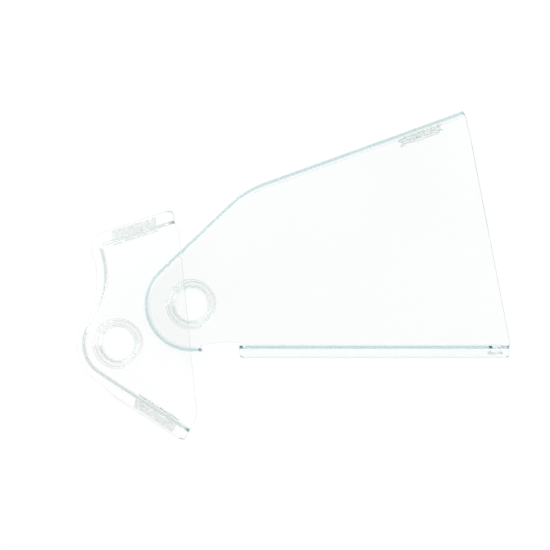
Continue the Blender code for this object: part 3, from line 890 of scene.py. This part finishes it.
def addClip(name, height, hub, node):
    b = railBush
    _, _, grooveTop, grooveEnd, _ = bushLevels(height)
    sleeve = b["bore"] + b["wall"]
    inner, outer = sleeve - b["clipGrip"] + b["gap"], sleeve + b["clipReach"]
    low, high = grooveEnd + b["gap"], grooveTop - b["gap"]
    profile = softened([(inner, low), (outer, low), (outer, high), (inner, high)], b["soften"])
    bm = turnedMesh(profile, b["segments"], 360.0 - b["clipOpening"])
    turn = Matrix.Rotation(math.radians(b["clipOpening"] / 2 - 90), 4, "Z")
    finishPiece(name, bm, clearClip, "rail_bushes", "clear_clip", node, Matrix.Translation(hub) @ turn)


addBush("smallBush", smallHeight, smallHub, "small_bush")
addBush("largeBush", largeHeight, largeHub, "large_bush")
addClip("smallBushClip", smallHeight, smallHub, "small_bush_clip")
addClip("largeBushClip", largeHeight, largeHub, "large_bush_clip")
print("bushes and clips turned")


def roundedLoop(halfLength, halfWidth, corner, steps=6):
    loop = []
    for signX, signY, start in ((1, 1, 0), (-1, 1, 90), (-1, -1, 180), (1, -1, 270)):
        centre = Vector((signX * (halfLength - corner), signY * (halfWidth - corner)))
        loop += [centre + heading(start + 90 * i / steps) * corner for i in range(steps + 1)]
    return loop


def addSlab(bm, halfLength, halfWidth, low, high, soft=0.00012):
    corner = gripPad["corner"]
    rings = []
    for inset, level in ((soft, low), (0.0, low + soft), (0.0, high - soft), (soft, high)):
        loop = roundedLoop(halfLength - inset, halfWidth - inset, corner - inset)
        rings.append([bm.verts.new((*point, level)) for point in loop])
    for ringA, ringB in zip(rings, rings[1:]):
        bridgeRings(bm, ringA, ringB)
    bm.faces.new(rings[0])
    bm.faces.new(rings[-1])


def addStem(bm, x, y, foot, way, reach):
    p = gripPad
    head = reach - p["headHeight"]
    profile = [(p["stemRadius"], 0.0), (p["stemRadius"], head)]
    profile += [(p["headRadius"] * share, head + rise) for share, rise in p["headShape"]]
    rings = []
    for radius, rise in profile:
        ring = [heading(360 / p["stemSides"] * i) * radius for i in range(p["stemSides"])]
        rings.append([bm.verts.new((x + point.x, y + point.y, foot + way * rise)) for point in ring])
    for ringA, ringB in zip(rings, rings[1:]):
        bridgeRings(bm, ringA, ringB)
    bm.faces.new(rings[0])
    bm.faces.new(rings[-1])


def addStrip(bm, halfLength, halfWidth, low, high, way):
    p = gripPad
    film = (low, low + p["film"]) if way > 0 else (high - p["film"], high)
    addSlab(bm, halfLength, halfWidth, *film)
    foot = film[1] - p["filmBite"] if way > 0 else film[0] + p["filmBite"]
    reach = high - low - p["film"] + p["filmBite"]
    pitch, margin = p["stemPitch"], p["headRadius"] + p["stemEdge"]
    rowPitch = pitch * math.sqrt(0.75)      # stems stand in triangles
    rows = int((halfWidth - margin) / rowPitch)
    for row in range(-rows, rows + 1):
        shift = pitch / 2 if row % 2 else 0.0
        y = row * rowPitch
        count = int((halfLength - margin - shift) / pitch)
        for column in range(-count - (1 if shift else 0), count + 1):
            x = column * pitch + shift
            if abs(x) < halfLength - margin:
                addStem(bm, x, y, foot, way, reach)


def addPad(prefix, layers, face, halfWidth, length, hub, body):
    level = gripPad["layerGap"]
    for part, kind, way in layers:
        bm = bmesh.new()
        top = level + gripPad[kind]
        if kind == "adhesive":
            addSlab(bm, length / 2, halfWidth, level, top)
        else:
            addStrip(bm, length / 2, halfWidth, level, top, way)
        node = f"{prefix}_{part}"
        words = node.split("_")
        name = words[0] + "".join(word.capitalize() for word in words[1:])
        finish = padAdhesive if kind == "adhesive" else padStrip
        finishPiece(name, bm, finish, body, f"pad_{kind}", node, Matrix.Translation(hub) @ face)
        level = top + gripPad["layerGap"]


singleLayers = [("adhesive", "adhesive", 1), ("strip", "strip", 1)]
matedLayers = singleLayers + [("mating_strip", "strip", -1), ("mating_adhesive", "adhesive", 1)]


def padOn(end, along, inset, length, normal, out, height):
    return wallFace(end - along * (inset + length / 2), normal, out, height)


def addPads():
    s, g, p = smallLeafSizes, largeLeafSizes, gripPad
    top, bottom, _ = smallLeafEnds()
    singles = (("top", top, p["smallTopInset"]), ("bottom", bottom, p["smallBottomInset"]))
    for place, (normal, along, end), inset in singles:
        face, half = padOn(end, along, inset, p["long"], normal, s[place + "Spread"], smallHeight)
        addPad("small_" + place, singleLayers, face, half, p["long"], smallHub, "small_leaf")
    normal, _, _, end, _ = largeLeafEnds()
    along = heading(g["topSlope"])
    face, half = padOn(end, along, p["largeInset"], p["short"], normal, g["topSpread"], largeHeight)
    addPad("large_top", matedLayers, face, half, p["short"], largeHub, "large_leaf")


addPads()
print("grip pads laid")
